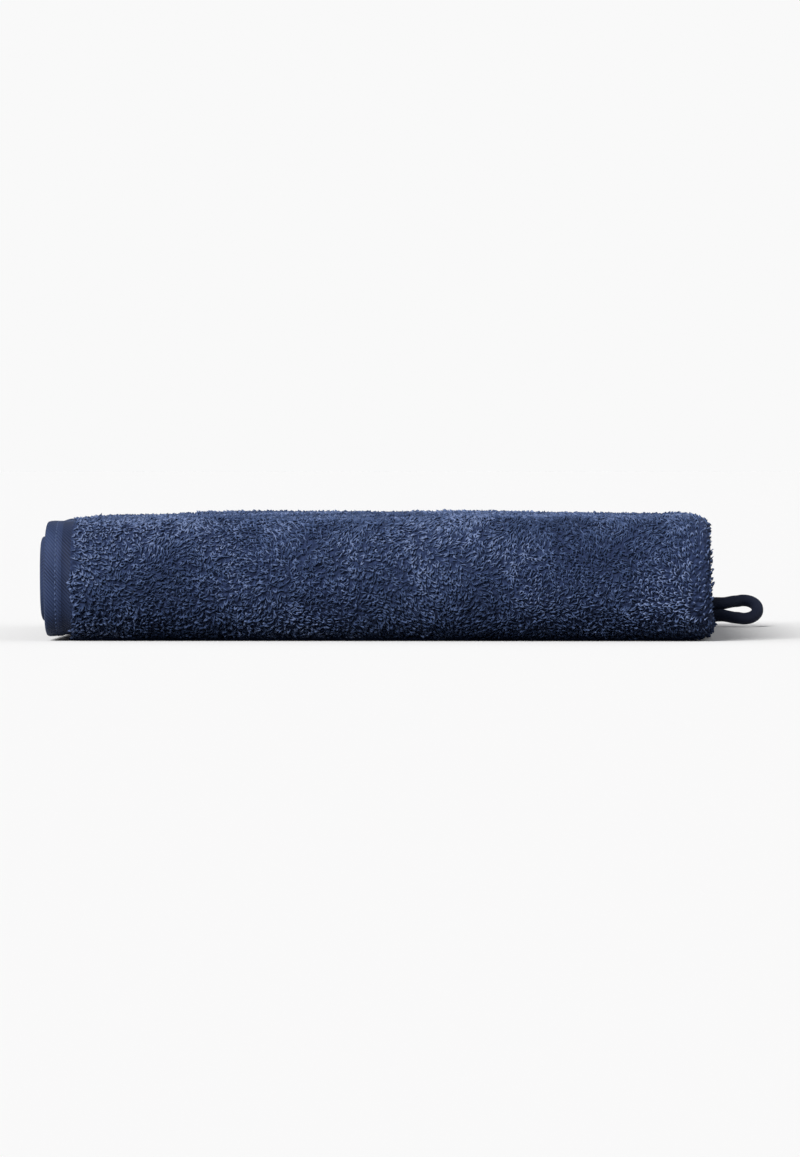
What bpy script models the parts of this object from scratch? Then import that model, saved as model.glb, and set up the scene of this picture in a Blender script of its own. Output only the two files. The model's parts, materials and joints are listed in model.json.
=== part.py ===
"""A terry hand towel, folded, with its hanging loop. Run with: blender --background --python part.py

Metres, +Z up. The towel lies on z = 0 with its round front fold towards -Y. It is folded lengthwise
first, with that fold at +X, then in half and in half again, so its short hems lie at the back.
"""

import math

import bmesh
import bpy
import numpy as np

# The folded towel
WIDTH = 0.250  # across the photograph, from the side hems to the lengthwise fold
DEPTH = 0.255  # from the front fold to the back fold
PLY = 0.0051  # one thickness of terry, with the pile on both faces
HEM_PLY = 0.0023  # one thickness of the flat hem
HEM_WIDTH = 0.010
HEM_STEP = 0.0012  # over which the pile rises beside a hem
PLY_GAP = 0.0007  # between the two plies of a layer
LAYER_GAP = 0.0010  # between one layer and the next

# The folds. Each layer is two plies thick and is drawn by the line midway between them.
HALF_LAYER = PLY + PLY_GAP / 2
PITCH = 2 * HALF_LAYER + LAYER_GAP
PLY_OFFSET = (PLY + PLY_GAP) / 2
FRONT_REACH = 0.0180
FRONT_SQUARENESS = 2.5  # 2 is a half circle
FOLD_PLAY = 0.0014  # between the front fold and the one inside it
BACK_FOLD_INSET = 0.0010
LOWER_END_INSET = 0.0010  # how far each short hem stops before the back
UPPER_END_INSET = 0.0050

# Spans of the mesh
SPANS_ACROSS_PLY = 7
SPANS_ROUND_SIDE_FOLD = 8
SPANS_ALONG_LAYER = 8
SPANS_ROUND_FRONT = 14
SPANS_ROUND_SMALL_FOLD = 9
FINE_STEPS = 4000  # of the line that the stations are read from

# How far the side fold stands out of line, and each selvedge, at each tenth of the towel's length
SIDE_FOLD_DRIFT = (
    0.0018, 0.0014, 0.0024, -0.0002, -0.0005, -0.0009,
    -0.0020, -0.0016, -0.0012, -0.0018, -0.0008,
)
OUTER_SELVEDGE_DRIFT = (
    0.0012, 0.0004, 0.0000, 0.0006, -0.0004, 0.0008,
    -0.0012, -0.0016, -0.0008, -0.0020, -0.0012,
)
INNER_SELVEDGE_DRIFT = (
    -0.0010, -0.0018, -0.0012, -0.0016, -0.0024, -0.0014,
    -0.0004, -0.0002, -0.0012, -0.0004, -0.0016,
)

# Slow waves: size, waves across the width, waves over the depth, phase
TOP_WAVES = ((0.013, 1.1, 0.5, 0.6), (0.008, 2.7, 1.2, 2.4), (0.004, 5.3, 2.6, 4.1))
FRONT_WAVES = ((0.0008, 1.4, 0.0, 2.0), (0.0004, 3.6, 0.0, 0.4))
SIDE_DROOP = 0.020  # how much lower the stack lies at its hemmed side, as a share of its height
SIDE_DROOP_WIDTH = 0.045
END_SKEW = -0.0030  # by which the short hems run askew of the back

# The hanging loop
LOOP_THICKNESS = 0.0048
LOOP_SEAT_GAP = 0.0003  # from the hem that it is sewn to
LOOP_SEAT_Y = DEPTH / 2 - LOWER_END_INSET - HEM_WIDTH / 2 + END_SKEW / 2  # the hem's middle
LOOP_SWAY = -0.0022  # how far the open loop leans forward of its seat
LOOP_RISE = 0.0014  # and how far above it
LOOP_LEVEL = 0.0013  # length that stays level at its seat
LOOP_RISING = 0.0047  # length over which it then rises
LOOP_TILT = math.radians(34)  # of the open loop, its back strand higher
LOOP_UPRIGHT = 0.004  # length over which one strand stays above the other
LOOP_TURN = 0.011  # length over which they then turn to that tilt
LOOP_SPANS = 48
# Half of its shape, by hand: how far out from the hem, and how far from the middle line
LOOP_ROUTE = (
    (0.0000, 0.00252),
    (0.0045, 0.00250),
    (0.0080, 0.00252),
    (0.0106, 0.00350),
    (0.0136, 0.00545),
    (0.0166, 0.00640),
    (0.0196, 0.00555),
    (0.0217, 0.00310),
    (0.0223, 0.00000),
)

# Colours
TOWEL_BLUE = (0.036, 0.058, 0.135, 1.0)
LOOP_BLUE = (0.012, 0.018, 0.045, 1.0)


def clear_scene():
    for old in list(bpy.data.objects):
        bpy.data.objects.remove(old, do_unlink=True)


def make_collection(name):
    collection = bpy.data.collections.new(name)
    bpy.context.scene.collection.children.link(collection)
    return collection


def make_material(name, colour, roughness):
    material = bpy.data.materials.new(name)
    material.use_nodes = True
    shader = material.node_tree.nodes["Principled BSDF"]
    shader.inputs["Base Color"].default_value = colour
    shader.inputs["Roughness"].default_value = roughness
    shader.inputs["Metallic"].default_value = 0.0
    return material


def smooth_step(value):
    held = np.clip(value, 0.0, 1.0)
    return held * held * (3 - 2 * held)


def straight(start_y, end_y, z):
    """A flat layer, as (y, z) points."""
    y = np.linspace(start_y, end_y, FINE_STEPS)
    return np.column_stack((y, np.full(FINE_STEPS, z)))


def half_turn(centre_y, start_z, end_z, reach, squareness=2.0):
    """A fold between two heights, which bulges by reach towards +Y, or towards -Y if negative."""
    turn = np.linspace(-math.pi / 2, math.pi / 2, FINE_STEPS)
    out = np.abs(np.cos(turn)) ** (2 / squareness)
    up = np.sign(turn) * np.abs(np.sin(turn)) ** (2 / squareness)
    middle_z, half_z = (start_z + end_z) / 2, (end_z - start_z) / 2
    return np.column_stack((centre_y + reach * out, middle_z + half_z * up))


def fold_line():
    """The stretches of the doubled cloth's middle line, and how many spans each one gets."""
    heights = [HALF_LAYER + PITCH * layer for layer in range(4)]
    front, back = -DEPTH / 2, DEPTH / 2
    front_y = front + HALF_LAYER + FRONT_REACH
    small_reach = PITCH / 2
    inner_y = front + 2 * HALF_LAYER + FOLD_PLAY + HALF_LAYER + small_reach
    back_y = back - BACK_FOLD_INSET - HALF_LAYER - small_reach
    lower_end, upper_end = back - LOWER_END_INSET, back - UPPER_END_INSET
    low, second, third, top = heights
    return (
        (straight(lower_end, front_y, low), SPANS_ALONG_LAYER),
        (half_turn(front_y, low, top, -FRONT_REACH, FRONT_SQUARENESS), SPANS_ROUND_FRONT),
        (straight(front_y, back_y, top), SPANS_ALONG_LAYER),
        (half_turn(back_y, top, third, small_reach), SPANS_ROUND_SMALL_FOLD),
        (straight(back_y, inner_y, third), SPANS_ALONG_LAYER),
        (half_turn(inner_y, third, second, -small_reach), SPANS_ROUND_SMALL_FOLD),
        (straight(inner_y, upper_end, second), SPANS_ALONG_LAYER),
    )


def lengths_along(line):
    steps = np.linalg.norm(np.diff(line, axis=0), axis=1)
    return np.concatenate(([0.0], np.cumsum(steps)))


def stations_along(stretches):
    """Where the cross-sections stand, with extra ones beside the hem at each free end."""
    stations, start = [0.0, HEM_WIDTH], 0.0
    for index, (line, spans) in enumerate(stretches):
        length = lengths_along(line)[-1]
        first = HEM_WIDTH + HEM_STEP if index == 0 else 0.0
        last = length - HEM_WIDTH - HEM_STEP if index == len(stretches) - 1 else length
        stations += list(start + np.linspace(first, last, spans, endpoint=False))
        start += length
    return np.array(stations + [start - HEM_WIDTH - HEM_STEP, start - HEM_WIDTH, start])


def section_across():
    """The doubled cloth's hairpin section: x, offset from the middle line, and which ply leads."""
    left = -WIDTH / 2
    fold_x = WIDTH / 2 - HALF_LAYER
    inside_hem = left + HEM_WIDTH + HEM_STEP
    ply = np.concatenate((
        [left, left + HEM_WIDTH],
        np.linspace(inside_hem, fold_x, SPANS_ACROSS_PLY, endpoint=False),
    ))
    turn = np.linspace(math.pi / 2, -math.pi / 2, SPANS_ROUND_SIDE_FOLD + 1)
    x = np.concatenate((ply, fold_x + PLY_OFFSET * np.cos(turn), ply[::-1]))
    offset = np.concatenate((
        np.full(len(ply), PLY_OFFSET), PLY_OFFSET * np.sin(turn), np.full(len(ply), -PLY_OFFSET),
    ))
    return x, offset


def waves(table, x, y):
    total = np.zeros_like(x)
    for size, across, over, phase in table:
        total += size * np.sin(2 * math.pi * (across * x / WIDTH + over * y / DEPTH) + phase)
    return total


def drift(table, share):
    return np.interp(share, np.linspace(0, 1, len(table)), table)


def settle(x, y, z, outer, share):
    """Moves the neat folds to where real cloth lies. The lowest ply stays flat on the ground."""
    selvedge = np.where(
        outer, drift(OUTER_SELVEDGE_DRIFT, share), drift(INNER_SELVEDGE_DRIFT, share)
    )
    to_right = smooth_step(x / WIDTH + 0.5)
    x = x + to_right * drift(SIDE_FOLD_DRIFT, share) + (1 - to_right) * selvedge
    rest = PLY / 2
    droop = SIDE_DROOP * (1 - smooth_step((x + WIDTH / 2) / SIDE_DROOP_WIDTH))
    raised = z - rest
    z = rest + raised * (1 + waves(TOP_WAVES, x, y) - droop)
    to_front = smooth_step(-y / (DEPTH / 2))
    upwards = smooth_step(raised / PITCH)
    y = y + to_front * upwards * waves(FRONT_WAVES, x, y)
    y = y + (1 - smooth_step((DEPTH / 2 - y) / 0.08)) * END_SKEW * x / WIDTH
    return x, y, z


def fold_towel(collection, material):
    stretches = fold_line()
    line = np.concatenate([points for points, _ in stretches])
    line = line[np.concatenate(([True], np.linalg.norm(np.diff(line, axis=0), axis=1) > 1e-9))]
    along = lengths_along(line)
    tangent = np.gradient(line, along, axis=0)
    tangent /= np.linalg.norm(tangent, axis=1)[:, None]
    stations = stations_along(stretches)
    middle = np.column_stack([np.interp(stations, along, line[:, i]) for i in (0, 1)])
    ahead = np.column_stack([np.interp(stations, along, tangent[:, i]) for i in (0, 1)])
    ahead /= np.linalg.norm(ahead, axis=1)[:, None]
    outward = np.column_stack((-ahead[:, 1], ahead[:, 0]))
    across_x, offset = section_across()

    bm = bmesh.new()
    columns, rows = len(across_x) - 1, len(stations) - 1
    bmesh.ops.create_grid(bm, x_segments=columns, y_segments=rows, size=0.5)
    spot = np.array([vertex.co[:2] for vertex in bm.verts]) + 0.5
    column = np.rint(spot[:, 0] * columns).astype(int)
    row = np.rint(spot[:, 1] * rows).astype(int)
    flat_place = middle[row] + offset[column][:, None] * outward[row]
    x, y, z = settle(
        across_x[column],
        flat_place[:, 0],
        flat_place[:, 1],
        offset[column] > 0,
        stations[row] / stations[-1],
    )
    for vertex, *place in zip(bm.verts, x, y, z):
        vertex.co = place
    mesh = bpy.data.meshes.new("towel")
    bm.to_mesh(mesh)
    bm.free()

    towel = bpy.data.objects.new("towel", mesh)
    collection.objects.link(towel)
    mesh.materials.append(material)
    at_edge = (across_x[column] < -WIDTH / 2 + HEM_WIDTH + 1e-6) | (
        np.minimum(stations[row], stations[-1] - stations[row]) < HEM_WIDTH + 1e-6
    )
    pile = towel.vertex_groups.new(name="pile")
    pile.add(np.flatnonzero(~at_edge).tolist(), 1.0, "REPLACE")
    thickness = towel.modifiers.new("Cloth thickness", "SOLIDIFY")
    thickness.thickness = PLY
    thickness.offset = 0.0
    thickness.use_even_offset = True
    thickness.vertex_group = "pile"
    thickness.thickness_vertex_group = HEM_PLY / PLY
    return towel


def smooth_route(points, count):
    """Points evenly spaced along a smooth curve through the given ones."""
    ends = np.concatenate(([2 * points[0] - points[1]], points, [2 * points[-1] - points[-2]]))
    share = np.linspace(0, 1, 40, endpoint=False)[:, None]
    pieces = []
    for a, b, c, d in zip(ends, ends[1:], ends[2:], ends[3:]):
        pieces.append(
            0.5 * (2 * b + (c - a) * share + (2 * a - 5 * b + 4 * c - d) * share**2
                   + (3 * b - a - 3 * c + d) * share**3)
        )
    fine = np.concatenate(pieces + [points[-1:]])
    along = lengths_along(fine)
    wanted = np.linspace(0, along[-1], count)
    return np.column_stack([np.interp(wanted, along, fine[:, i]) for i in range(fine.shape[1])])


def loop_route():
    half = np.array(LOOP_ROUTE)
    other = half[-2::-1] * (1, -1)
    route = smooth_route(np.concatenate((half, other)), LOOP_SPANS + 1)
    out, aside = route[:, 0], route[:, 1]
    turned = smooth_step((out - LOOP_UPRIGHT) / LOOP_TURN)
    risen = smooth_step((out - LOOP_LEVEL) / LOOP_RISING)
    tilt = math.pi / 2 + (LOOP_TILT - math.pi / 2) * turned
    side_fold_x = WIDTH / 2 - HALF_LAYER + PLY_OFFSET + HEM_PLY / 2
    start_x = side_fold_x + SIDE_FOLD_DRIFT[0] + LOOP_SEAT_GAP
    return np.column_stack((
        start_x + out,
        LOOP_SEAT_Y + LOOP_SWAY * turned + aside * np.cos(tilt),
        HALF_LAYER + LOOP_RISE * risen + aside * np.sin(tilt),
    ))


def make_loop(collection, material):
    curve = bpy.data.curves.new("hanging_loop", "CURVE")
    curve.dimensions = "3D"
    curve.bevel_depth = LOOP_THICKNESS / 2
    curve.bevel_resolution = 3
    curve.use_fill_caps = True
    route = loop_route()
    spline = curve.splines.new("POLY")
    spline.points.add(len(route) - 1)
    for point, place in zip(spline.points, route):
        point.co = (*place, 1.0)
    curve.materials.append(material)
    loop = bpy.data.objects.new("hanging_loop", curve)
    collection.objects.link(loop)
    return loop


def main():
    clear_scene()
    collection = make_collection("hand_towel")
    fold_towel(collection, make_material("terry_blue", TOWEL_BLUE, 0.95))
    make_loop(collection, make_material("loop_blue", LOOP_BLUE, 0.8))


main()
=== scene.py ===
"""The looks of a folded terry hand towel with its hanging loop.

Metres, +Z up, front fold towards -Y.
"""

import json
import math

import bmesh
import bpy
import numpy as np
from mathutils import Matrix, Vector

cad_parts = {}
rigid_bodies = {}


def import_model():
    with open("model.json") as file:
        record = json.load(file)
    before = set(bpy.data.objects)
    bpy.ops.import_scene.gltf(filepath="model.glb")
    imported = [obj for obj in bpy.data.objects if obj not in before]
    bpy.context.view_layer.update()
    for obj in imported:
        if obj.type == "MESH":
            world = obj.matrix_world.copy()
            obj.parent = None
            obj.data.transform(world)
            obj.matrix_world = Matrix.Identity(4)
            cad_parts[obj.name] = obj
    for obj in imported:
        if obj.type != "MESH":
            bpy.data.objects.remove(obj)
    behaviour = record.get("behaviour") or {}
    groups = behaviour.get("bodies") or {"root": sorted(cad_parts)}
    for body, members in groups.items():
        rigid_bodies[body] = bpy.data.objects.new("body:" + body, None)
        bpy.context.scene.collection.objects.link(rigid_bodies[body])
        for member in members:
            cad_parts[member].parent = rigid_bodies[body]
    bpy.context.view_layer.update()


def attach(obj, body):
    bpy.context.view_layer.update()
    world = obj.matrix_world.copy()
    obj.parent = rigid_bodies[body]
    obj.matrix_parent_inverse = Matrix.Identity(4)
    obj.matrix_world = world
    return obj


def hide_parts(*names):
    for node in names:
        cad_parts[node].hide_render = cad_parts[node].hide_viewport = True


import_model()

# The folded towel, as in the part's source
WIDTH, DEPTH = 0.250, 0.255
PLY, PLY_GAP, LAYER_GAP = 0.0051, 0.0007, 0.0010
HEM_PLY, HEM_WIDTH = 0.0023, 0.010
HALF_LAYER = PLY + PLY_GAP / 2
PITCH = 2 * HALF_LAYER + LAYER_GAP
PLY_OFFSET = (PLY + PLY_GAP) / 2
FRONT_REACH, FRONT_SQUARENESS = 0.0180, 2.5
FOLD_PLAY, BACK_FOLD_INSET = 0.0014, 0.0010
LOWER_END_INSET, UPPER_END_INSET = 0.0010, 0.0050
FINE_STEPS = 4000
SIDE_FOLD_DRIFT = (
    0.0018, 0.0014, 0.0024, -0.0002, -0.0005, -0.0009,
    -0.0020, -0.0016, -0.0012, -0.0018, -0.0008,
)
OUTER_SELVEDGE_DRIFT = (
    0.0012, 0.0004, 0.0000, 0.0006, -0.0004, 0.0008,
    -0.0012, -0.0016, -0.0008, -0.0020, -0.0012,
)
INNER_SELVEDGE_DRIFT = (
    -0.0010, -0.0018, -0.0012, -0.0016, -0.0024, -0.0014,
    -0.0004, -0.0002, -0.0012, -0.0004, -0.0016,
)
TOP_WAVES = ((0.013, 1.1, 0.5, 0.6), (0.008, 2.7, 1.2, 2.4), (0.004, 5.3, 2.6, 4.1))
FRONT_WAVES = ((0.0008, 1.4, 0.0, 2.0), (0.0004, 3.6, 0.0, 0.4))
SIDE_DROOP, SIDE_DROOP_WIDTH = 0.020, 0.045
END_SKEW, SKEW_REACH = -0.0030, 0.08

# The hanging loop, as in the part's source
LOOP_THICKNESS = 0.0048
LOOP_SEAT_GAP = 0.0003
LOOP_SEAT_Y = DEPTH / 2 - LOWER_END_INSET - HEM_WIDTH / 2 + END_SKEW / 2
LOOP_SWAY, LOOP_RISE = -0.0022, 0.0014
LOOP_LEVEL, LOOP_RISING = 0.0013, 0.0047
LOOP_TILT = math.radians(34)
LOOP_UPRIGHT, LOOP_TURN = 0.004, 0.011
LOOP_EYE_MIDDLE = 0.0160  # how far out the middle of its eye is
LOOP_ROUTE = (
    (0.0000, 0.00252),
    (0.0045, 0.00250),
    (0.0080, 0.00252),
    (0.0106, 0.00350),
    (0.0136, 0.00545),
    (0.0166, 0.00640),
    (0.0196, 0.00555),
    (0.0217, 0.00310),
    (0.0223, 0.00000),
)

# The band's finish
LOOP_SEWN_IN = 0.0012  # length of each end that is sunk in the hem
ROUTE_STEPS = 40  # between two points of its route
BAND_RINGS, BAND_SIDES = 240, 36
SAME_BAND_PLACE = 1e-7
STEM_SWELL, STEM_LENGTH, STEM_FADE = 0.06, 0.0075, 0.003  # thicker where its strands meet
SEAM_DEPTH, SEAM_WIDTH = 0.07, 0.16  # share of its thickness, and radians
BAND_END = ((0, 1, 3), (0.0, 0.93, 1.0))  # rings from an end, and share of its thickness there

# The cloth: heights are from the middle of a ply
GROUND_HEIGHT = 0.0013  # of the woven ground, where loops stand on it
HIDDEN_HEIGHT = 0.0025  # where the pile is pressed between layers
PATCH_FADE = 0.004  # over which the one becomes the other
UNDER_FRONT = 0.010  # how far that ground goes on under the front fold
PAST_BACK = 0.006  # and past the back fold
# The turned hem's section: distance from its edge, height
HEM_PROFILE = (
    (0.0000, 0.00000),
    (0.0002, 0.00064),
    (0.0005, 0.00100),
    (0.0012, 0.00122),
    (0.0026, 0.00120),
    (0.0036, 0.00112),
    (0.0043, 0.00082),
    (0.0049, 0.00110),
    (0.0058, 0.00104),
    (0.0065, 0.00058),
    (0.0100, 0.00056),
)
HEM_STITCH_LINE = 0.0043  # from the hem's edge
HEM_TURNED = 0.0065  # width of the turned part; the rest is a flat strip beside the pile
SAME_PLACE = 1e-6

# Spans of the cloth's mesh
BESIDE_HEM = 0.0008
GROUND_SPAN = 0.006
SIDE_TURN_SPAN, FRONT_TURN_SPAN, SMALL_TURN_SPAN = 0.001, 0.003, 0.0022

# The hem's stitches
STITCH_PITCH, STITCH_LENGTH, THREAD = 0.0021, 0.0015, 0.00058
STITCH_RISE = 0.2  # how far a stitch's middle stands out of the hem, as a share of the thread
STITCH_LINE_SPAN = 0.001
STITCHES_PAST_BACK = 0.004
ABOVE_HEM = 0.003  # a height outside the hem, which shows the way out

# The pile
YARN = 0.00048
LOOP_SHAPES = (  # width, height, curl, bend
    (0.0012, 0.0019, 0.3, 0.0003),
    (0.0011, 0.0021, 1.3, 0.0005),
    (0.0014, 0.0017, -0.6, 0.0002),
    (0.0011, 0.0020, -1.5, 0.0006),
)
FRONT_SPACING, TOP_SPACING = 0.00095, 0.00146
BACK_FOLD_SPACING, SIDE_FOLD_SPACING = 0.00138, 0.00150
TRIES = 1.6  # places tried for a loop, in each square as wide as the spacing
PILE_FROM_HEM = 0.0006
PILE_UNDER_FRONT = 0.012
TOP_PILE_FROM = 0.006  # past the front fold
SIDE_MARGIN = 0.0035  # of pile beside the lengthwise fold, on either ply
SIDE_PILE_INSET = 0.001  # of its loops within that margin, at the inner ply
FLOW_SCALE, FLOW_STRENGTH = 85.0, 4.5
# the pile's slow brushed lean; its scale also sizes the paler patches of painted sheen
BRUSH_AND_SHEEN_SCALE, BRUSH_STRENGTH = 30.0, 4.0
FLOW_STRAY, TURN_STRAY = 0.5, 0.8  # of single loops
LEANS, LOOP_SIZES = (0.7, 1.9), (0.80, 1.14)
SHEEN_PATCHES_FROM = (0.57, 2.09, -2.19)  # lays the paler patches of painted sheen about where the photo has them
PATCH_SPANS = (0.003, 0.002)  # of the face that the loops stand on, across and along

# Camera and stage
SOFT_LIGHT_FROM = (-0.25, -0.80, 0.55)
KEY_FROM, KEY_SOFTNESS, KEY_STRENGTH = (-0.45, -1.0, 0.70), 30.0, 3.4
FLOOR_RADIUS, FLOOR_DROP = 30.0, 0.0002
FLOOR_COLOUR = (0.97, 0.965, 0.955, 1.0)
BACKDROP = (0.947, 0.947, 0.947, 1.0)  # as pale as the floor looks under these lights
CAMERA_PLACE = (0.070, -2.830, 0.069)
FRAME_CENTRE = (0.0085, -0.1275, 0.0235)
FRAME_WIDTH = 0.298  # across the picture, at the towel's front
PICTURE = (800, 1157)
SENSOR = 36.0
CLIP = (0.1, 100.0)

# Cloth colours
SHEEN_BLUE = (0.45, 0.60, 1.0, 1.0)
HEM_COLOURS = (0.010, 0.017, 0.044), (0.036, 0.056, 0.130)
# the hem's flat strip beside the pile: its twill painted darker than the hem's, as painted shade
SHADED_STRIP_COLOURS = (0.006, 0.010, 0.027), (0.021, 0.033, 0.080)
# the hanging loop's twill, painted much darker than the hem's, as painted shade
SHADED_BAND_COLOURS = (0.005, 0.008, 0.020), (0.010, 0.015, 0.035)
HEM_RIBS, BAND_RIBS = 500.0, 700.0  # scales of the twill's ribs


def smooth_step(value):
    held = np.clip(value, 0.0, 1.0)
    return held * held * (3 - 2 * held)


def lengths_along(line):
    steps = np.linalg.norm(np.diff(line, axis=0), axis=1)
    return np.concatenate(([0.0], np.cumsum(steps)))


def straight(start_y, end_y, z):
    y = np.linspace(start_y, end_y, FINE_STEPS)
    return np.column_stack((y, np.full(FINE_STEPS, z)))


def half_turn(centre_y, start_z, end_z, reach, squareness=2.0):
    turn = np.linspace(-math.pi / 2, math.pi / 2, FINE_STEPS)
    out = np.abs(np.cos(turn)) ** (2 / squareness)
    up = np.sign(turn) * np.abs(np.sin(turn)) ** (2 / squareness)
    middle_z, half_z = (start_z + end_z) / 2, (end_z - start_z) / 2
    return np.column_stack((centre_y + reach * out, middle_z + half_z * up))


def fold_stretches():
    """The doubled cloth's middle line, in stretches from the lower short hem to the upper one."""
    low, second, third, top = [HALF_LAYER + PITCH * layer for layer in range(4)]
    front, back = -DEPTH / 2, DEPTH / 2
    front_y = front + HALF_LAYER + FRONT_REACH
    small_reach = PITCH / 2
    inner_y = front + 2 * HALF_LAYER + FOLD_PLAY + HALF_LAYER + small_reach
    back_y = back - BACK_FOLD_INSET - HALF_LAYER - small_reach
    return (
        straight(back - LOWER_END_INSET, front_y, low),
        half_turn(front_y, low, top, -FRONT_REACH, FRONT_SQUARENESS),
        straight(front_y, back_y, top),
        half_turn(back_y, top, third, small_reach),
        straight(back_y, inner_y, third),
        half_turn(inner_y, third, second, -small_reach),
        straight(inner_y, back - UPPER_END_INSET, second),
    )


STRETCHES = fold_stretches()
# Where each stretch ends, in lengths from the lower short hem
FRONT_START, FRONT_END, BACK_START, BACK_END, INNER_START, INNER_END, LENGTH = np.cumsum(
    [lengths_along(line)[-1] for line in STRETCHES]
)
FOLD_LINE = np.concatenate([STRETCHES[0]] + [line[1:] for line in STRETCHES[1:]])
ALONG = lengths_along(FOLD_LINE)
AHEAD = np.gradient(FOLD_LINE, ALONG, axis=0)
AHEAD /= np.linalg.norm(AHEAD, axis=1)[:, None]

# Across the doubled cloth: out along one ply, round the lengthwise fold and back along the other
FOLD_X = WIDTH / 2 - HALF_LAYER
PLY_WIDTH = FOLD_X + WIDTH / 2
TURN_WIDTH = math.pi * PLY_OFFSET
ACROSS = 2 * PLY_WIDTH + TURN_WIDTH


def waves(table, x, y):
    total = np.zeros_like(x)
    for size, across, over, phase in table:
        total += size * np.sin(2 * math.pi * (across * x / WIDTH + over * y / DEPTH) + phase)
    return total


def drift(table, share):
    return np.interp(share, np.linspace(0, 1, len(table)), table)


def settle(x, y, z, outer, share):
    """Moves the neat folds to where real cloth lies."""
    selvedge = np.where(
        outer, drift(OUTER_SELVEDGE_DRIFT, share), drift(INNER_SELVEDGE_DRIFT, share)
    )
    to_right = smooth_step(x / WIDTH + 0.5)
    x = x + to_right * drift(SIDE_FOLD_DRIFT, share) + (1 - to_right) * selvedge
    rest = PLY / 2
    droop = SIDE_DROOP * (1 - smooth_step((x + WIDTH / 2) / SIDE_DROOP_WIDTH))
    raised = np.maximum(z - rest, 0)
    z = z + raised * (waves(TOP_WAVES, x, y) - droop)
    to_front = smooth_step(-y / (DEPTH / 2))
    y = y + to_front * smooth_step(raised / PITCH) * waves(FRONT_WAVES, x, y)
    y = y + (1 - smooth_step((DEPTH / 2 - y) / SKEW_REACH)) * END_SKEW * x / WIDTH
    return x, y, z


def folded(across, along, height):
    """Where a point of the flat cloth lies, that far above the middle of its thickness."""
    across, along, height = np.broadcast_arrays(across, along, height)
    turn = np.clip((across - PLY_WIDTH) / TURN_WIDTH, 0, 1) * math.pi
    out_x, out = np.sin(turn), np.cos(turn)
    in_from_side = np.minimum(np.minimum(across, ACROSS - across), PLY_WIDTH)
    x = -WIDTH / 2 + in_from_side + (PLY_OFFSET + height) * out_x
    y, z = (np.interp(along, ALONG, FOLD_LINE[:, i]) for i in (0, 1))
    ahead_y, ahead_z = (np.interp(along, ALONG, AHEAD[:, i]) for i in (0, 1))
    offset = (PLY_OFFSET + height) * out
    return np.column_stack(
        settle(x, y - offset * ahead_z, z + offset * ahead_y, across < ACROSS / 2, along / LENGTH)
    )


def evenly(start, end, span):
    return np.linspace(start, end, max(2, round((end - start) / span) + 1))


def new_piece(name, mesh, materials):
    piece = bpy.data.objects.new(name, mesh)
    bpy.context.scene.collection.objects.link(piece)
    for material in materials:
        mesh.materials.append(material)
    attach(piece, "root")
    return piece


def grid_mesh(name, columns, rows, place, uv=None, merge=None, mark=None):
    """A grid of quads, each point put where place(column, row) says."""
    bm = bmesh.new()
    across, along = len(columns) - 1, len(rows) - 1
    bmesh.ops.create_grid(bm, x_segments=across, y_segments=along, size=0.5)
    spot = np.array([vertex.co[:2] for vertex in bm.verts]) + 0.5
    column = np.rint(spot[:, 0] * across).astype(int)
    row = np.rint(spot[:, 1] * along).astype(int)
    if uv:
        layer = bm.loops.layers.uv.new("Flat")
        flat = uv(columns[column], rows[row])
        for face in bm.faces:
            for corner in face.loops:
                corner[layer].uv = flat[corner.vert.index]
    if mark:
        marked = mark(columns[column], rows[row])
        for face in bm.faces:
            face.material_index = min(int(marked[vertex.index]) for vertex in face.verts)
    for vertex, point in zip(bm.verts, place(columns[column], rows[row])):
        vertex.co = point
    if merge:
        bmesh.ops.remove_doubles(bm, verts=bm.verts[:], dist=merge)
        bmesh.ops.recalc_face_normals(bm, faces=bm.faces[:])
    for face in bm.faces:
        face.smooth = True
    mesh = bpy.data.meshes.new(name)
    bm.to_mesh(mesh)
    bm.free()
    return mesh


# --- Materials ---


def node_of(tree, kind, settings=None, **inputs):
    """A node with its inputs set, or linked where the value is a socket.

    A_B names the input 'A B', and _0 the first input.
    """
    node = tree.nodes.new(kind)
    for name, value in (settings or {}).items():
        setattr(node, name, value)
    for name, value in inputs.items():
        key = int(name[1:]) if name[0] == "_" else name.replace("_", " ")
        if isinstance(value, bpy.types.NodeSocket):
            tree.links.new(value, node.inputs[key])
        else:
            node.inputs[key].default_value = value
    return node


def cloth_material(name, roughness, sheen, sheen_tint=SHEEN_BLUE):
    material = bpy.data.materials.new(name)
    material.use_nodes = True
    tree = material.node_tree
    shader = tree.nodes["Principled BSDF"]
    shader.inputs["Roughness"].default_value = roughness
    shader.inputs["Specular IOR Level"].default_value = 0.18
    shader.inputs["Sheen Weight"].default_value = sheen
    shader.inputs["Sheen Roughness"].default_value = 0.45
    shader.inputs["Sheen Tint"].default_value = sheen_tint
    return material, tree, shader


def colour_ramp(tree, factor, stops):
    ramp = node_of(tree, "ShaderNodeValToRGB", Fac=factor)
    for index, (place, colour) in enumerate(stops):
        held = ramp.color_ramp.elements
        stop = held[index] if index < 2 else held.new(place)
        stop.position, stop.color = place, (*colour, 1.0)
    return ramp.outputs["Color"]


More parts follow.
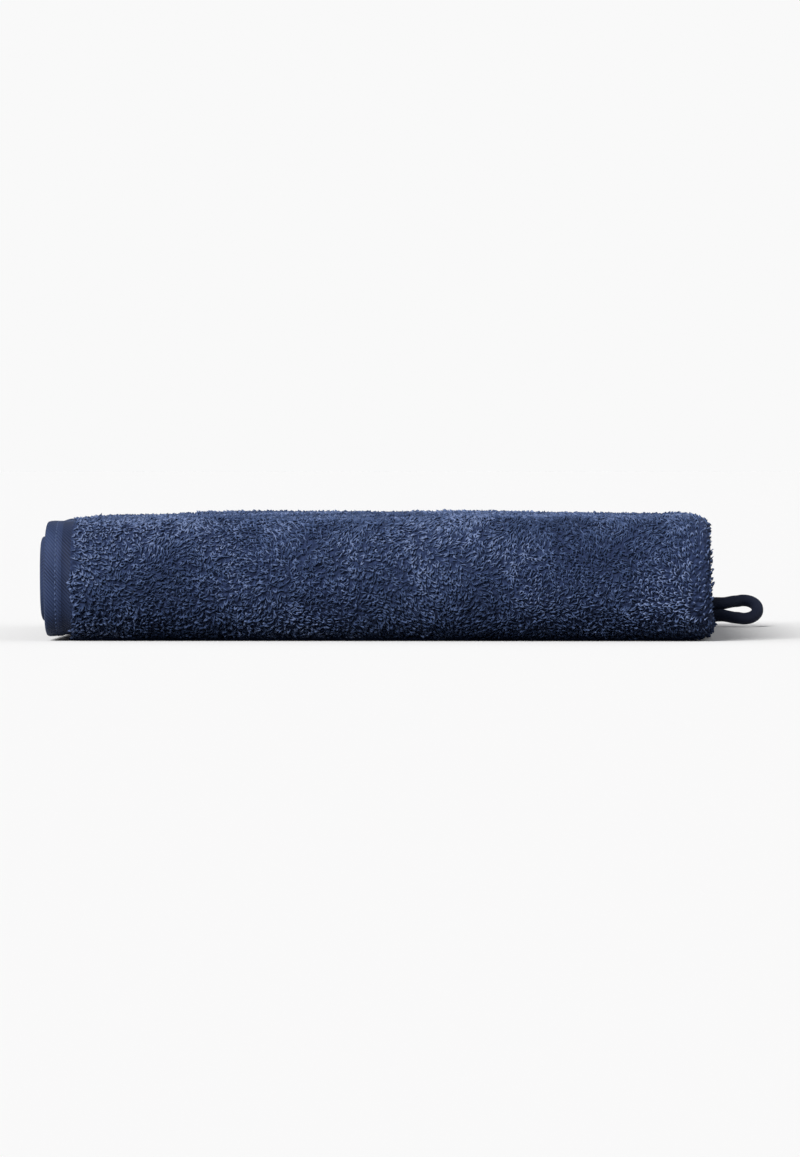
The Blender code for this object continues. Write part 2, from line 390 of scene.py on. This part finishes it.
def pile_material():
    """Navy yarn: painted shade at the foot of each loop, lighter towards its tip, painted sheen in
    paler patches, with a fine twist.
    """
    material, tree, shader = cloth_material("navy_pile", 0.88, 0.06)
    place = node_of(tree, "ShaderNodeTexCoord").outputs["Object"]
    painted_shade_height = node_of(tree, "ShaderNodeAttribute", {"attribute_name": "painted_shade_height"}).outputs["Fac"]
    tone = node_of(tree, "ShaderNodeAttribute", {"attribute_name": "tone"}).outputs["Fac"]
    # Paler patches: painted sheen, where the leaning pile would catch the light.
    sheen_patch_place = node_of(
        tree, "ShaderNodeVectorMath", {"operation": "ADD"}, _0=place, _1=SHEEN_PATCHES_FROM
    ).outputs["Vector"]
    patches = node_of(tree, "ShaderNodeTexNoise", Vector=sheen_patch_place, Scale=BRUSH_AND_SHEEN_SCALE, Detail=2.0)
    spread = node_of(
        tree, "ShaderNodeMapRange", Value=patches.outputs["Fac"],
        From_Min=0.36, From_Max=0.64, To_Min=-0.08, To_Max=0.42,
    )
    toned = node_of(
        tree, "ShaderNodeMath", {"operation": "MULTIPLY_ADD"}, _0=tone, _1=0.46,
        _2=spread.outputs["Result"],
    )
    # Painted shade: darker at the foot of each loop, lighter towards its tip.
    lit = node_of(
        tree, "ShaderNodeMath", {"operation": "MULTIPLY_ADD"}, _0=painted_shade_height, _1=0.28,
        _2=toned.outputs["Value"],
    )
    # The palest stop is a painted highlight on the loops' tips.
    colour = colour_ramp(tree, lit.outputs["Value"], (
        (0.0, (0.011, 0.021, 0.059)),
        (0.42, (0.034, 0.057, 0.132)),
        (0.75, (0.080, 0.119, 0.240)),
        (1.0, (0.170, 0.225, 0.390)),
    ))
    tree.links.new(colour, shader.inputs["Base Color"])
    fibres = node_of(tree, "ShaderNodeTexNoise", Vector=place, Scale=3200.0, Detail=2.0)
    bump = node_of(
        tree, "ShaderNodeBump", Strength=0.5, Distance=0.0001, Height=fibres.outputs["Fac"]
    )
    tree.links.new(bump.outputs["Normal"], shader.inputs["Normal"])
    return material


def ground_material():
    """The woven ground between the loops, and pile pressed flat where no loops are modelled."""
    material, tree, shader = cloth_material("navy_ground", 0.95, 0.1)
    place = node_of(tree, "ShaderNodeTexCoord").outputs["Object"]
    curls = node_of(
        tree, "ShaderNodeTexVoronoi", {"feature": "SMOOTH_F1"}, Vector=place, Scale=620.0,
        Smoothness=0.4,
    )
    # Painted shade: the ground is dark where it shows between the loops, darkest in the low
    # hollows between its curls.
    colour = colour_ramp(tree, curls.outputs["Distance"], (
        (0.1, (0.030, 0.048, 0.118)),
        (0.9, (0.011, 0.018, 0.050)),
    ))
    tree.links.new(colour, shader.inputs["Base Color"])
    bump = node_of(
        tree, "ShaderNodeBump", {"invert": True}, Strength=1.0, Distance=0.0012,
        Height=curls.outputs["Distance"],
    )
    tree.links.new(bump.outputs["Normal"], shader.inputs["Normal"])
    return material


def twill_material(name, colours, rib_scale):
    """Diagonal twill that follows the piece's own flat coordinates."""
    dark, pale = colours
    material, tree, shader = cloth_material(name, 0.66, 0.06)
    flat = node_of(tree, "ShaderNodeUVMap", {"uv_map": "Flat"}).outputs["UV"]
    ribs = node_of(
        tree, "ShaderNodeTexWave", {"bands_direction": "DIAGONAL"}, Vector=flat,
        Scale=rib_scale, Distortion=0.6, Detail=1.0,
    )
    cloudy = node_of(tree, "ShaderNodeTexNoise", Vector=flat, Scale=90.0, Detail=3.0)
    mixed = node_of(
        tree, "ShaderNodeMath", {"operation": "MULTIPLY_ADD"}, _0=ribs.outputs["Fac"], _1=0.70,
        _2=cloudy.outputs["Fac"],
    )
    colour = colour_ramp(tree, mixed.outputs["Value"], ((0.40, dark), (1.0, pale)))
    tree.links.new(colour, shader.inputs["Base Color"])
    bump = node_of(
        tree, "ShaderNodeBump", Strength=0.7, Distance=0.0002, Height=ribs.outputs["Fac"]
    )
    tree.links.new(bump.outputs["Normal"], shader.inputs["Normal"])
    return material


# --- The cloth ---


def shown(across, along):
    """1 where loops stand on the outer face, 0 where it is pressed between layers or down."""
    fold = np.minimum(across - (PLY_WIDTH - SIDE_MARGIN),
                      (PLY_WIDTH + TURN_WIDTH + SIDE_MARGIN) - across)
    outside = np.minimum(along - (FRONT_START - UNDER_FRONT), (BACK_END + PAST_BACK) - along)
    outside = np.where(across < PLY_WIDTH, outside, -1.0)
    return smooth_step(np.maximum(fold, outside) / PATCH_FADE + 0.5)


def from_edge(across, along):
    return np.minimum(np.minimum(across, ACROSS - across), np.minimum(along, LENGTH - along))


def hem_height(edge):
    return np.interp(edge, *np.array(HEM_PROFILE).T)


def cloth_height(across, along, face):
    """Half the cloth's thickness there. face is 1 on the outer face and -1 on the inner one."""
    edge = from_edge(across, along)
    showing = np.where(face > 0, shown(across, along), 0.0)
    pile = HIDDEN_HEIGHT + (GROUND_HEIGHT - HIDDEN_HEIGHT) * showing
    return np.where(edge <= HEM_WIDTH + SAME_PLACE, hem_height(edge), pile) * face


def hem_stations():
    return np.array([distance for distance, _ in HEM_PROFILE])


def cloth_columns():
    """Distances across the flat cloth, with more of them at the hems and round the fold."""
    inside = HEM_WIDTH + BESIDE_HEM
    return np.concatenate((
        hem_stations(),
        evenly(inside, PLY_WIDTH, GROUND_SPAN)[:-1],
        evenly(PLY_WIDTH, PLY_WIDTH + TURN_WIDTH, SIDE_TURN_SPAN)[:-1],
        evenly(PLY_WIDTH + TURN_WIDTH, ACROSS - inside, GROUND_SPAN),
        ACROSS - hem_stations()[::-1],
    ))


def cloth_rows():
    inside = HEM_WIDTH + BESIDE_HEM
    return np.concatenate((
        hem_stations(),
        evenly(inside, FRONT_START, GROUND_SPAN)[:-1],
        evenly(FRONT_START, FRONT_END, FRONT_TURN_SPAN)[:-1],
        evenly(FRONT_END, BACK_START, GROUND_SPAN)[:-1],
        evenly(BACK_START, BACK_END, SMALL_TURN_SPAN)[:-1],
        evenly(BACK_END, INNER_START, GROUND_SPAN)[:-1],
        evenly(INNER_START, INNER_END, SMALL_TURN_SPAN)[:-1],
        evenly(INNER_END, LENGTH - inside, GROUND_SPAN),
        LENGTH - hem_stations()[::-1],
    ))


def make_cloth(materials):
    """One closed skin: over the outer face, round the selvedge and back over the inner face.

    materials are those of the ground, the hem's flat strip (painted darker, as painted shade
    beside the pile) and its turned part.
    """
    over = cloth_columns()
    columns = np.concatenate((over, 2 * ACROSS - over[-2::-1]))

    def across_of(column):
        return np.where(column > ACROSS, 2 * ACROSS - column, column)

    def place(column, row):
        face = np.where(column > ACROSS, -1.0, 1.0)
        across = across_of(column)
        return folded(across, row, cloth_height(across, row, face))

    def hemmed(column, row):
        edge = from_edge(across_of(column), row)
        flat, turned = edge <= HEM_WIDTH + SAME_PLACE, edge <= HEM_TURNED + SAME_PLACE
        return flat.astype(int) + turned

    mesh = grid_mesh(
        "towel_cloth", columns, cloth_rows(), place, merge=SAME_PLACE, mark=hemmed,
        uv=lambda column, row: np.column_stack((across_of(column), row)),
    )
    cloth = new_piece("towel_cloth", mesh, materials)
    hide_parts("towel")
    return cloth


# --- The pile ---


def yarn_loop(name, sides, steps, width, height, curl, bend):
    """One loop of pile yarn, standing on its two feet, with its height along it kept as an
    attribute, for painted shade at its foot that lightens towards its tip.
    """
    bm = bmesh.new()
    bmesh.ops.create_circle(bm, segments=sides, radius=YARN / 2, cap_ends=True)
    bmesh.ops.translate(bm, verts=bm.verts[:], vec=(-width / 2, 0, 0))
    bmesh.ops.spin(
        bm, geom=bm.edges[:], cent=(0, 0, 0), axis=(0, 1, 0), angle=math.pi, steps=steps,
        use_merge=False, use_duplicate=False,
    )
    bmesh.ops.holes_fill(bm, edges=bm.edges[:], sides=sides)
    painted_shade_height = bm.verts.layers.float.new("painted_shade_height")
    rise = (height - YARN / 2) / (width / 2)
    for vertex in bm.verts:
        x, y, z = vertex.co
        share = max(0.0, min(1.0, z / (width / 2)))
        # kept for painted shade at the loop's foot
        vertex[painted_shade_height] = share
        turn = curl * share
        vertex.co = (
            x * math.cos(turn) - y * math.sin(turn),
            x * math.sin(turn) + y * math.cos(turn) + bend * share * share,
            z * rise,
        )
    bmesh.ops.recalc_face_normals(bm, faces=bm.faces[:])
    mesh = bpy.data.meshes.new(name)
    bm.to_mesh(mesh)
    bm.free()
    return bpy.data.objects.new(name, mesh)


def loop_kinds(name, sides, steps):
    """A few unlike loops, from which each place on the cloth takes one."""
    kinds = bpy.data.collections.new(name)
    for index, shape in enumerate(LOOP_SHAPES):
        kinds.objects.link(yarn_loop(f"{name}_{index}", sides, steps, *shape))
    return kinds


def scatter_tree(kinds, spacing, seed):
    """Stands loops on a face, leaning the way that a slow noise says, each a little different."""
    tree = bpy.data.node_groups.new("stand_loops", "GeometryNodeTree")
    tree.interface.new_socket("Geometry", in_out="INPUT", socket_type="NodeSocketGeometry")
    tree.interface.new_socket("Geometry", in_out="OUTPUT", socket_type="NodeSocketGeometry")
    start = node_of(tree, "NodeGroupInput")
    spots = node_of(
        tree, "GeometryNodeDistributePointsOnFaces", {"distribute_method": "POISSON"},
        Mesh=start.outputs[0], Distance_Min=spacing, Density_Max=TRIES / spacing**2,
        Density_Factor=1.0, Seed=seed,
    )
    normal = spots.outputs["Normal"]

    def vector_math(operation, *values, **named):
        values = {f"_{index}": value for index, value in enumerate(values)}
        node = node_of(tree, "ShaderNodeVectorMath", {"operation": operation}, **values, **named)
        return node.outputs["Value" if operation == "DOT_PRODUCT" else "Vector"]

    def random(low, high, offset, kind="FLOAT"):
        node = tree.nodes.new("FunctionNodeRandomValue")
        node.data_type = kind
        sockets = [s for s in node.inputs if s.enabled]
        sockets[0].default_value, sockets[1].default_value = low, high
        node.inputs["Seed"].default_value = seed + offset
        return next(s for s in node.outputs if s.enabled)

    place = node_of(tree, "GeometryNodeInputPosition").outputs[0]
    flow = random((-FLOW_STRAY,) * 3, (FLOW_STRAY,) * 3, 1, "FLOAT_VECTOR")
    for scale, strength in ((FLOW_SCALE, FLOW_STRENGTH), (BRUSH_AND_SHEEN_SCALE, BRUSH_STRENGTH)):
        noise = node_of(tree, "ShaderNodeTexNoise", Vector=place, Scale=scale, Detail=1.0)
        centred = vector_math("SUBTRACT", noise.outputs["Color"], (0.5, 0.5, 0.5))
        flow = vector_math("ADD", flow, vector_math("SCALE", centred, Scale=strength))
    along_normal = vector_math("DOT_PRODUCT", flow, normal)
    upright = vector_math("SCALE", normal, Scale=along_normal)
    lie = vector_math("NORMALIZE", vector_math("SUBTRACT", flow, upright))
    lean = vector_math("SCALE", lie, Scale=random(*LEANS, 2))
    up = vector_math("NORMALIZE", vector_math("ADD", normal, lean))
    wide = vector_math("CROSS_PRODUCT", lie, normal)
    stray = random((-TURN_STRAY,) * 3, (TURN_STRAY,) * 3, 3, "FLOAT_VECTOR")
    wide = vector_math("ADD", wide, stray)
    turned = node_of(
        tree, "FunctionNodeAxesToRotation", {"primary_axis": "Z", "secondary_axis": "X"},
        Primary_Axis=up, Secondary_Axis=wide,
    )
    loops = node_of(
        tree, "GeometryNodeCollectionInfo", Collection=kinds, Separate_Children=True,
        Reset_Children=True,
    )
    stood = node_of(
        tree, "GeometryNodeInstanceOnPoints", Points=spots.outputs["Points"],
        Instance=loops.outputs[0], Pick_Instance=True,
        Instance_Index=random(0, len(kinds.objects) - 1, 4, "INT"),
        Rotation=turned.outputs[0], Scale=random(*LOOP_SIZES, 5),
    )
    toned = node_of(
        tree, "GeometryNodeStoreNamedAttribute", {"data_type": "FLOAT", "domain": "INSTANCE"},
        Geometry=stood.outputs[0], Name="tone",
    )
    tree.links.new(random(0.0, 1.0, 6), next(
        s for s in toned.inputs if s.enabled and s.name == "Value"
    ))
    real = node_of(tree, "GeometryNodeRealizeInstances", Geometry=toned.outputs[0])
    end = tree.nodes.new("NodeGroupOutput")
    tree.links.new(real.outputs[0], end.inputs[0])
    return tree


def stand_pile(name, across, along, kinds, spacing, seed, material):
    """The loops on one patch of the outer face. across and along are (from, to) on flat cloth."""
    patch = bpy.data.objects.new("patch", grid_mesh(
        "patch", evenly(*across, PATCH_SPANS[0]), evenly(*along, PATCH_SPANS[1]),
        lambda column, row: folded(column, row, GROUND_HEIGHT - YARN / 4),
    ))
    bpy.context.scene.collection.objects.link(patch)
    patch.modifiers.new("Loops", "NODES").node_group = scatter_tree(kinds, spacing, seed)
    bpy.context.view_layer.update()
    graph = bpy.context.evaluated_depsgraph_get()
    mesh = bpy.data.meshes.new_from_object(patch.evaluated_get(graph))
    bpy.data.objects.remove(patch)
    places = np.empty(len(mesh.vertices) * 3)
    mesh.vertices.foreach_get("co", places)
    places[2::3] = np.maximum(places[2::3], 0.0)
    mesh.vertices.foreach_set("co", places)
    mesh.shade_smooth()
    mesh.name = name
    mesh.materials.clear()
    piece = new_piece(name, mesh, (material,))
    return piece


def make_pile(material):
    fine, plain = loop_kinds("fine_loop", 3, 5), loop_kinds("plain_loop", 3, 4)
    inside = HEM_WIDTH + PILE_FROM_HEM
    beside = PLY_WIDTH - SIDE_MARGIN
    middle = (inside + beside) / 2
    past_side = PLY_WIDTH + TURN_WIDTH + SIDE_MARGIN - SIDE_PILE_INSET
    top_start = FRONT_END + TOP_PILE_FROM
    front = (FRONT_START - PILE_UNDER_FRONT, top_start)
    back = (BACK_START, BACK_END + PAST_BACK)
    whole = (inside, LENGTH - inside)
    patches = [
        ("front_pile_left", (inside, middle), front, fine, FRONT_SPACING, 11),
        ("front_pile_right", (middle, beside), front, fine, FRONT_SPACING, 12),
        ("back_fold_pile", (inside, beside), back, plain, BACK_FOLD_SPACING, 13),
        ("side_fold_pile", (beside, past_side), whole, plain, SIDE_FOLD_SPACING, 14),
    ]
    top_thirds = np.linspace(top_start, BACK_START, 4)
    for index, third in enumerate(zip(top_thirds, top_thirds[1:])):
        name = f"top_pile_{index + 1}"
        patches.append((name, (inside, beside), third, plain, TOP_SPACING, 20 + index))
    pieces = [stand_pile(*patch, material) for patch in patches]
    for kinds in (fine, plain):
        for loop in list(kinds.objects):
            bpy.data.objects.remove(loop)
    return pieces


# --- Hem stitches ---


def stitch_run(bm, across, along):
    """Stitches along one line of the outer face, each a small dash sunk a little in the hem."""
    height = hem_height(HEM_STITCH_LINE)
    line = folded(across, along, height)
    out = folded(across, along, ABOVE_HEM) - line
    steps = lengths_along(line)
    for start in np.arange(0.5 * STITCH_PITCH, steps[-1] - STITCH_PITCH, STITCH_PITCH):
        here, there, up = (
            Vector([np.interp(at, steps, points[:, i]) for i in range(3)])
            for at, points in ((start, line), (start + STITCH_LENGTH, line), (start, out))
        )
        ahead = (there - here).normalized()
        made = bmesh.ops.create_icosphere(bm, subdivisions=1, radius=THREAD / 2)
        turn = ahead.to_track_quat("X", "Z")
        for vertex in made["verts"]:
            stretched = Vector((vertex.co.x * (there - here).length / THREAD, *vertex.co.yz))
            middle = (here + there) / 2 + up.normalized() * THREAD * STITCH_RISE
            vertex.co = turn @ stretched + middle


def make_stitches(material):
    bm = bmesh.new()
    side = evenly(
        FRONT_START - PILE_UNDER_FRONT, BACK_END + STITCHES_PAST_BACK, STITCH_LINE_SPAN
    )
    stitch_run(bm, np.full_like(side, HEM_STITCH_LINE), side)
    width = evenly(HEM_STITCH_LINE, ACROSS - HEM_STITCH_LINE, STITCH_LINE_SPAN)
    for along in (HEM_STITCH_LINE, LENGTH - HEM_STITCH_LINE):
        stitch_run(bm, width, np.full_like(width, along))
    for face in bm.faces:
        face.smooth = True
    mesh = bpy.data.meshes.new("hem_stitches")
    bm.to_mesh(mesh)
    bm.free()
    stitches = new_piece("hem_stitches", mesh, (material,))
    return stitches


def thread_material():
    material, tree, shader = cloth_material("navy_thread", 0.55, 0.1, (0.5, 0.62, 1.0, 1.0))
    place = node_of(tree, "ShaderNodeTexCoord").outputs["Object"]
    mottle = node_of(tree, "ShaderNodeTexNoise", Vector=place, Scale=900.0, Detail=1.0)
    colour = colour_ramp(tree, mottle.outputs["Fac"], (
        (0.3, (0.045, 0.068, 0.140)),
        (0.7, (0.090, 0.125, 0.235)),
    ))
    tree.links.new(colour, shader.inputs["Base Color"])
    return material


# --- The hanging loop ---


def smooth_route(points, count):
    ends = np.concatenate(([2 * points[0] - points[1]], points, [2 * points[-1] - points[-2]]))
    share = np.linspace(0, 1, ROUTE_STEPS, endpoint=False)[:, None]
    pieces = []
    for a, b, c, d in zip(ends, ends[1:], ends[2:], ends[3:]):
        pieces.append(
            0.5 * (2 * b + (c - a) * share + (2 * a - 5 * b + 4 * c - d) * share**2
                   + (3 * b - a - 3 * c + d) * share**3)
        )
    fine = np.concatenate(pieces + [points[-1:]])
    along = lengths_along(fine)
    wanted = np.linspace(0, along[-1], count)
    return np.column_stack([np.interp(wanted, along, fine[:, i]) for i in range(fine.shape[1])])


def loop_middle(out):
    """The line midway between the two strands, and how far they have turned there, from 0 to 1."""
    turned = smooth_step((out - LOOP_UPRIGHT) / LOOP_TURN)
    risen = smooth_step((out - LOOP_LEVEL) / LOOP_RISING)
    start_x = FOLD_X + PLY_OFFSET + HEM_PLY / 2 + SIDE_FOLD_DRIFT[0] + LOOP_SEAT_GAP
    middle = np.column_stack((
        start_x + out, LOOP_SEAT_Y + LOOP_SWAY * turned, HALF_LAYER + LOOP_RISE * risen
    ))
    return middle, turned


def loop_route(count):
    half = np.array(LOOP_ROUTE)
    other = half[-2::-1] * (1, -1)
    route = smooth_route(np.concatenate((half, other)), count)
    out, aside = route[:, 0], route[:, 1]
    middle, turned = loop_middle(out)
    tilt = math.pi / 2 + (LOOP_TILT - math.pi / 2) * turned
    return out, middle + aside[:, None] * np.column_stack((0 * tilt, np.cos(tilt), np.sin(tilt)))


def make_hanging_loop(material):
    """A folded band, sewn along its inner side, with the seam as a shallow groove."""
    out, route = loop_route(BAND_RINGS)
    sewn = np.array([(LOOP_SEWN_IN, 0, 0), (0.9 * LOOP_SEWN_IN, 0, 0)])
    route = np.concatenate((route[0] - sewn, route, route[-1] - sewn[::-1]))
    out = np.concatenate((-sewn[:, 0], out, -sewn[::-1, 0]))
    count = len(route)
    ahead = np.gradient(route, axis=0)
    ahead /= np.linalg.norm(ahead, axis=1)[:, None]
    thick = 1 + STEM_SWELL * (1 - smooth_step((out - STEM_LENGTH) / STEM_FADE))
    inward = loop_middle(np.minimum(out, LOOP_EYE_MIDDLE))[0] - route
    inward -= (inward * ahead).sum(axis=1)[:, None] * ahead
    inward /= np.linalg.norm(inward, axis=1)[:, None]
    aside = np.cross(ahead, inward)
    lengths = lengths_along(route)

    def place(column, row):
        at = row.astype(int)
        angle = column * 2 * math.pi / BAND_SIDES
        from_seam = np.mod(angle + math.pi, 2 * math.pi) - math.pi
        seam = SEAM_DEPTH * np.exp(-((from_seam / SEAM_WIDTH) ** 2))
        size = LOOP_THICKNESS / 2 * thick[at] * (1 - seam)
        end = np.minimum(at, count - 1 - at)
        size = size * np.interp(end, *BAND_END)
        return (
            route[at]
            + (size * np.cos(angle))[:, None] * inward[at]
            + (size * np.sin(angle))[:, None] * aside[at]
        )

    mesh = grid_mesh(
        "hanging_loop_band", np.arange(BAND_SIDES + 1.0), np.arange(float(count)), place,
        merge=SAME_BAND_PLACE,
        uv=lambda column, row: np.column_stack((
            column / BAND_SIDES * math.pi * LOOP_THICKNESS, lengths[row.astype(int)],
        )),
    )
    band = new_piece("hanging_loop_band", mesh, (material,))
    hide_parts("hanging_loop")


# --- Stage ---


def make_stage():
    bm = bmesh.new()
    bmesh.ops.create_circle(bm, segments=64, radius=FLOOR_RADIUS, cap_ends=True)
    mesh = bpy.data.meshes.new("floor")
    bm.to_mesh(mesh)
    bm.free()
    floor = bpy.data.objects.new("floor", mesh)
    floor.location.z = -FLOOR_DROP
    bpy.context.scene.collection.objects.link(floor)
    material = bpy.data.materials.new("pale_floor")
    material.use_nodes = True
    shader = material.node_tree.nodes["Principled BSDF"]
    shader.inputs["Base Color"].default_value = FLOOR_COLOUR
    shader.inputs["Roughness"].default_value = 0.9
    shader.inputs["Specular IOR Level"].default_value = 0.0
    mesh.materials.append(material)
    floor.visible_diffuse = False


def make_world():
    """Soft light, most of it from the front and not far up. The camera sees a plain backdrop."""
    world = bpy.data.worlds.new("studio")
    bpy.context.scene.world = world
    world.use_nodes = True
    tree = world.node_tree
    tree.nodes.clear()
    way = node_of(tree, "ShaderNodeTexCoord").outputs["Generated"]
    ahead = node_of(
        tree, "ShaderNodeVectorMath", {"operation": "DOT_PRODUCT"}, _0=way, _1=SOFT_LIGHT_FROM
    ).outputs["Value"]
    height = node_of(tree, "ShaderNodeSeparateXYZ", Vector=way).outputs["Z"]
    above = colour_ramp(tree, node_of(
        tree, "ShaderNodeMapRange", Value=height, From_Min=0.02, From_Max=1.0,
    ).outputs["Result"], (
        (0.0, (0.03, 0.033, 0.042)),
        (0.30, (1.0, 1.0, 1.0)),
        (0.50, (1.0, 1.0, 1.0)),
        (1.0, (0.05, 0.05, 0.06)),
    ))
    light = colour_ramp(tree, node_of(
        tree, "ShaderNodeMapRange", Value=ahead, From_Min=-1.0, From_Max=1.0,
    ).outputs["Result"], (
        (0.1, (0.30, 0.31, 0.34)),
        (0.5, (0.52, 0.53, 0.55)),
        (1.0, (1.0, 1.0, 1.0)),
    ))
    both = node_of(
        tree, "ShaderNodeMix", {"data_type": "RGBA", "blend_type": "MULTIPLY"}, _0=1.0,
        _6=above, _7=light,
    )
    soft = node_of(tree, "ShaderNodeBackground", Color=both.outputs[2], Strength=1.0)
    plain = node_of(tree, "ShaderNodeBackground", Color=BACKDROP, Strength=1.0)
    seen = node_of(tree, "ShaderNodeLightPath").outputs["Is Camera Ray"]
    mixed = node_of(
        tree, "ShaderNodeMixShader", Fac=seen, _1=soft.outputs[0], _2=plain.outputs[0]
    )
    out = tree.nodes.new("ShaderNodeOutputWorld")
    tree.links.new(mixed.outputs[0], out.inputs["Surface"])


def make_key_light():
    lamp = bpy.data.lights.new("key", "SUN")
    lamp.angle = math.radians(KEY_SOFTNESS)
    lamp.energy = KEY_STRENGTH
    light = bpy.data.objects.new("key", lamp)
    light.rotation_euler = (-Vector(KEY_FROM)).to_track_quat("-Z", "Y").to_euler()
    bpy.context.scene.collection.objects.link(light)


def make_camera():
    data = bpy.data.cameras.new("camera")
    camera = bpy.data.objects.new("camera", data)
    bpy.context.scene.collection.objects.link(camera)
    place, target = Vector(CAMERA_PLACE), Vector(FRAME_CENTRE)
    camera.location = place
    camera.rotation_euler = (target - place).to_track_quat("-Z", "Y").to_euler()
    frame_height = FRAME_WIDTH * PICTURE[1] / PICTURE[0]
    data.sensor_width = SENSOR
    data.lens = data.sensor_width * (target - place).length / frame_height
    data.clip_start, data.clip_end = CLIP
    bpy.context.scene.camera = camera


def main():
    make_camera()
    make_stage()
    make_world()
    make_key_light()
    bpy.context.scene.view_settings.view_transform = "Standard"
    ground, pile = ground_material(), pile_material()
    # The flat strip's darker twill is painted shade beside the pile.
    strip = twill_material("strip_twill_painted_shade", SHADED_STRIP_COLOURS, HEM_RIBS)
    hem = twill_material("hem_twill", HEM_COLOURS, HEM_RIBS)
    # The band's very dark twill is painted shade.
    band = twill_material("band_twill_painted_shade", SHADED_BAND_COLOURS, BAND_RIBS)
    cloth = make_cloth((ground, strip, hem))
    on_cloth = make_pile(pile) + [make_stitches(thread_material())]
    make_hanging_loop(band)


main()
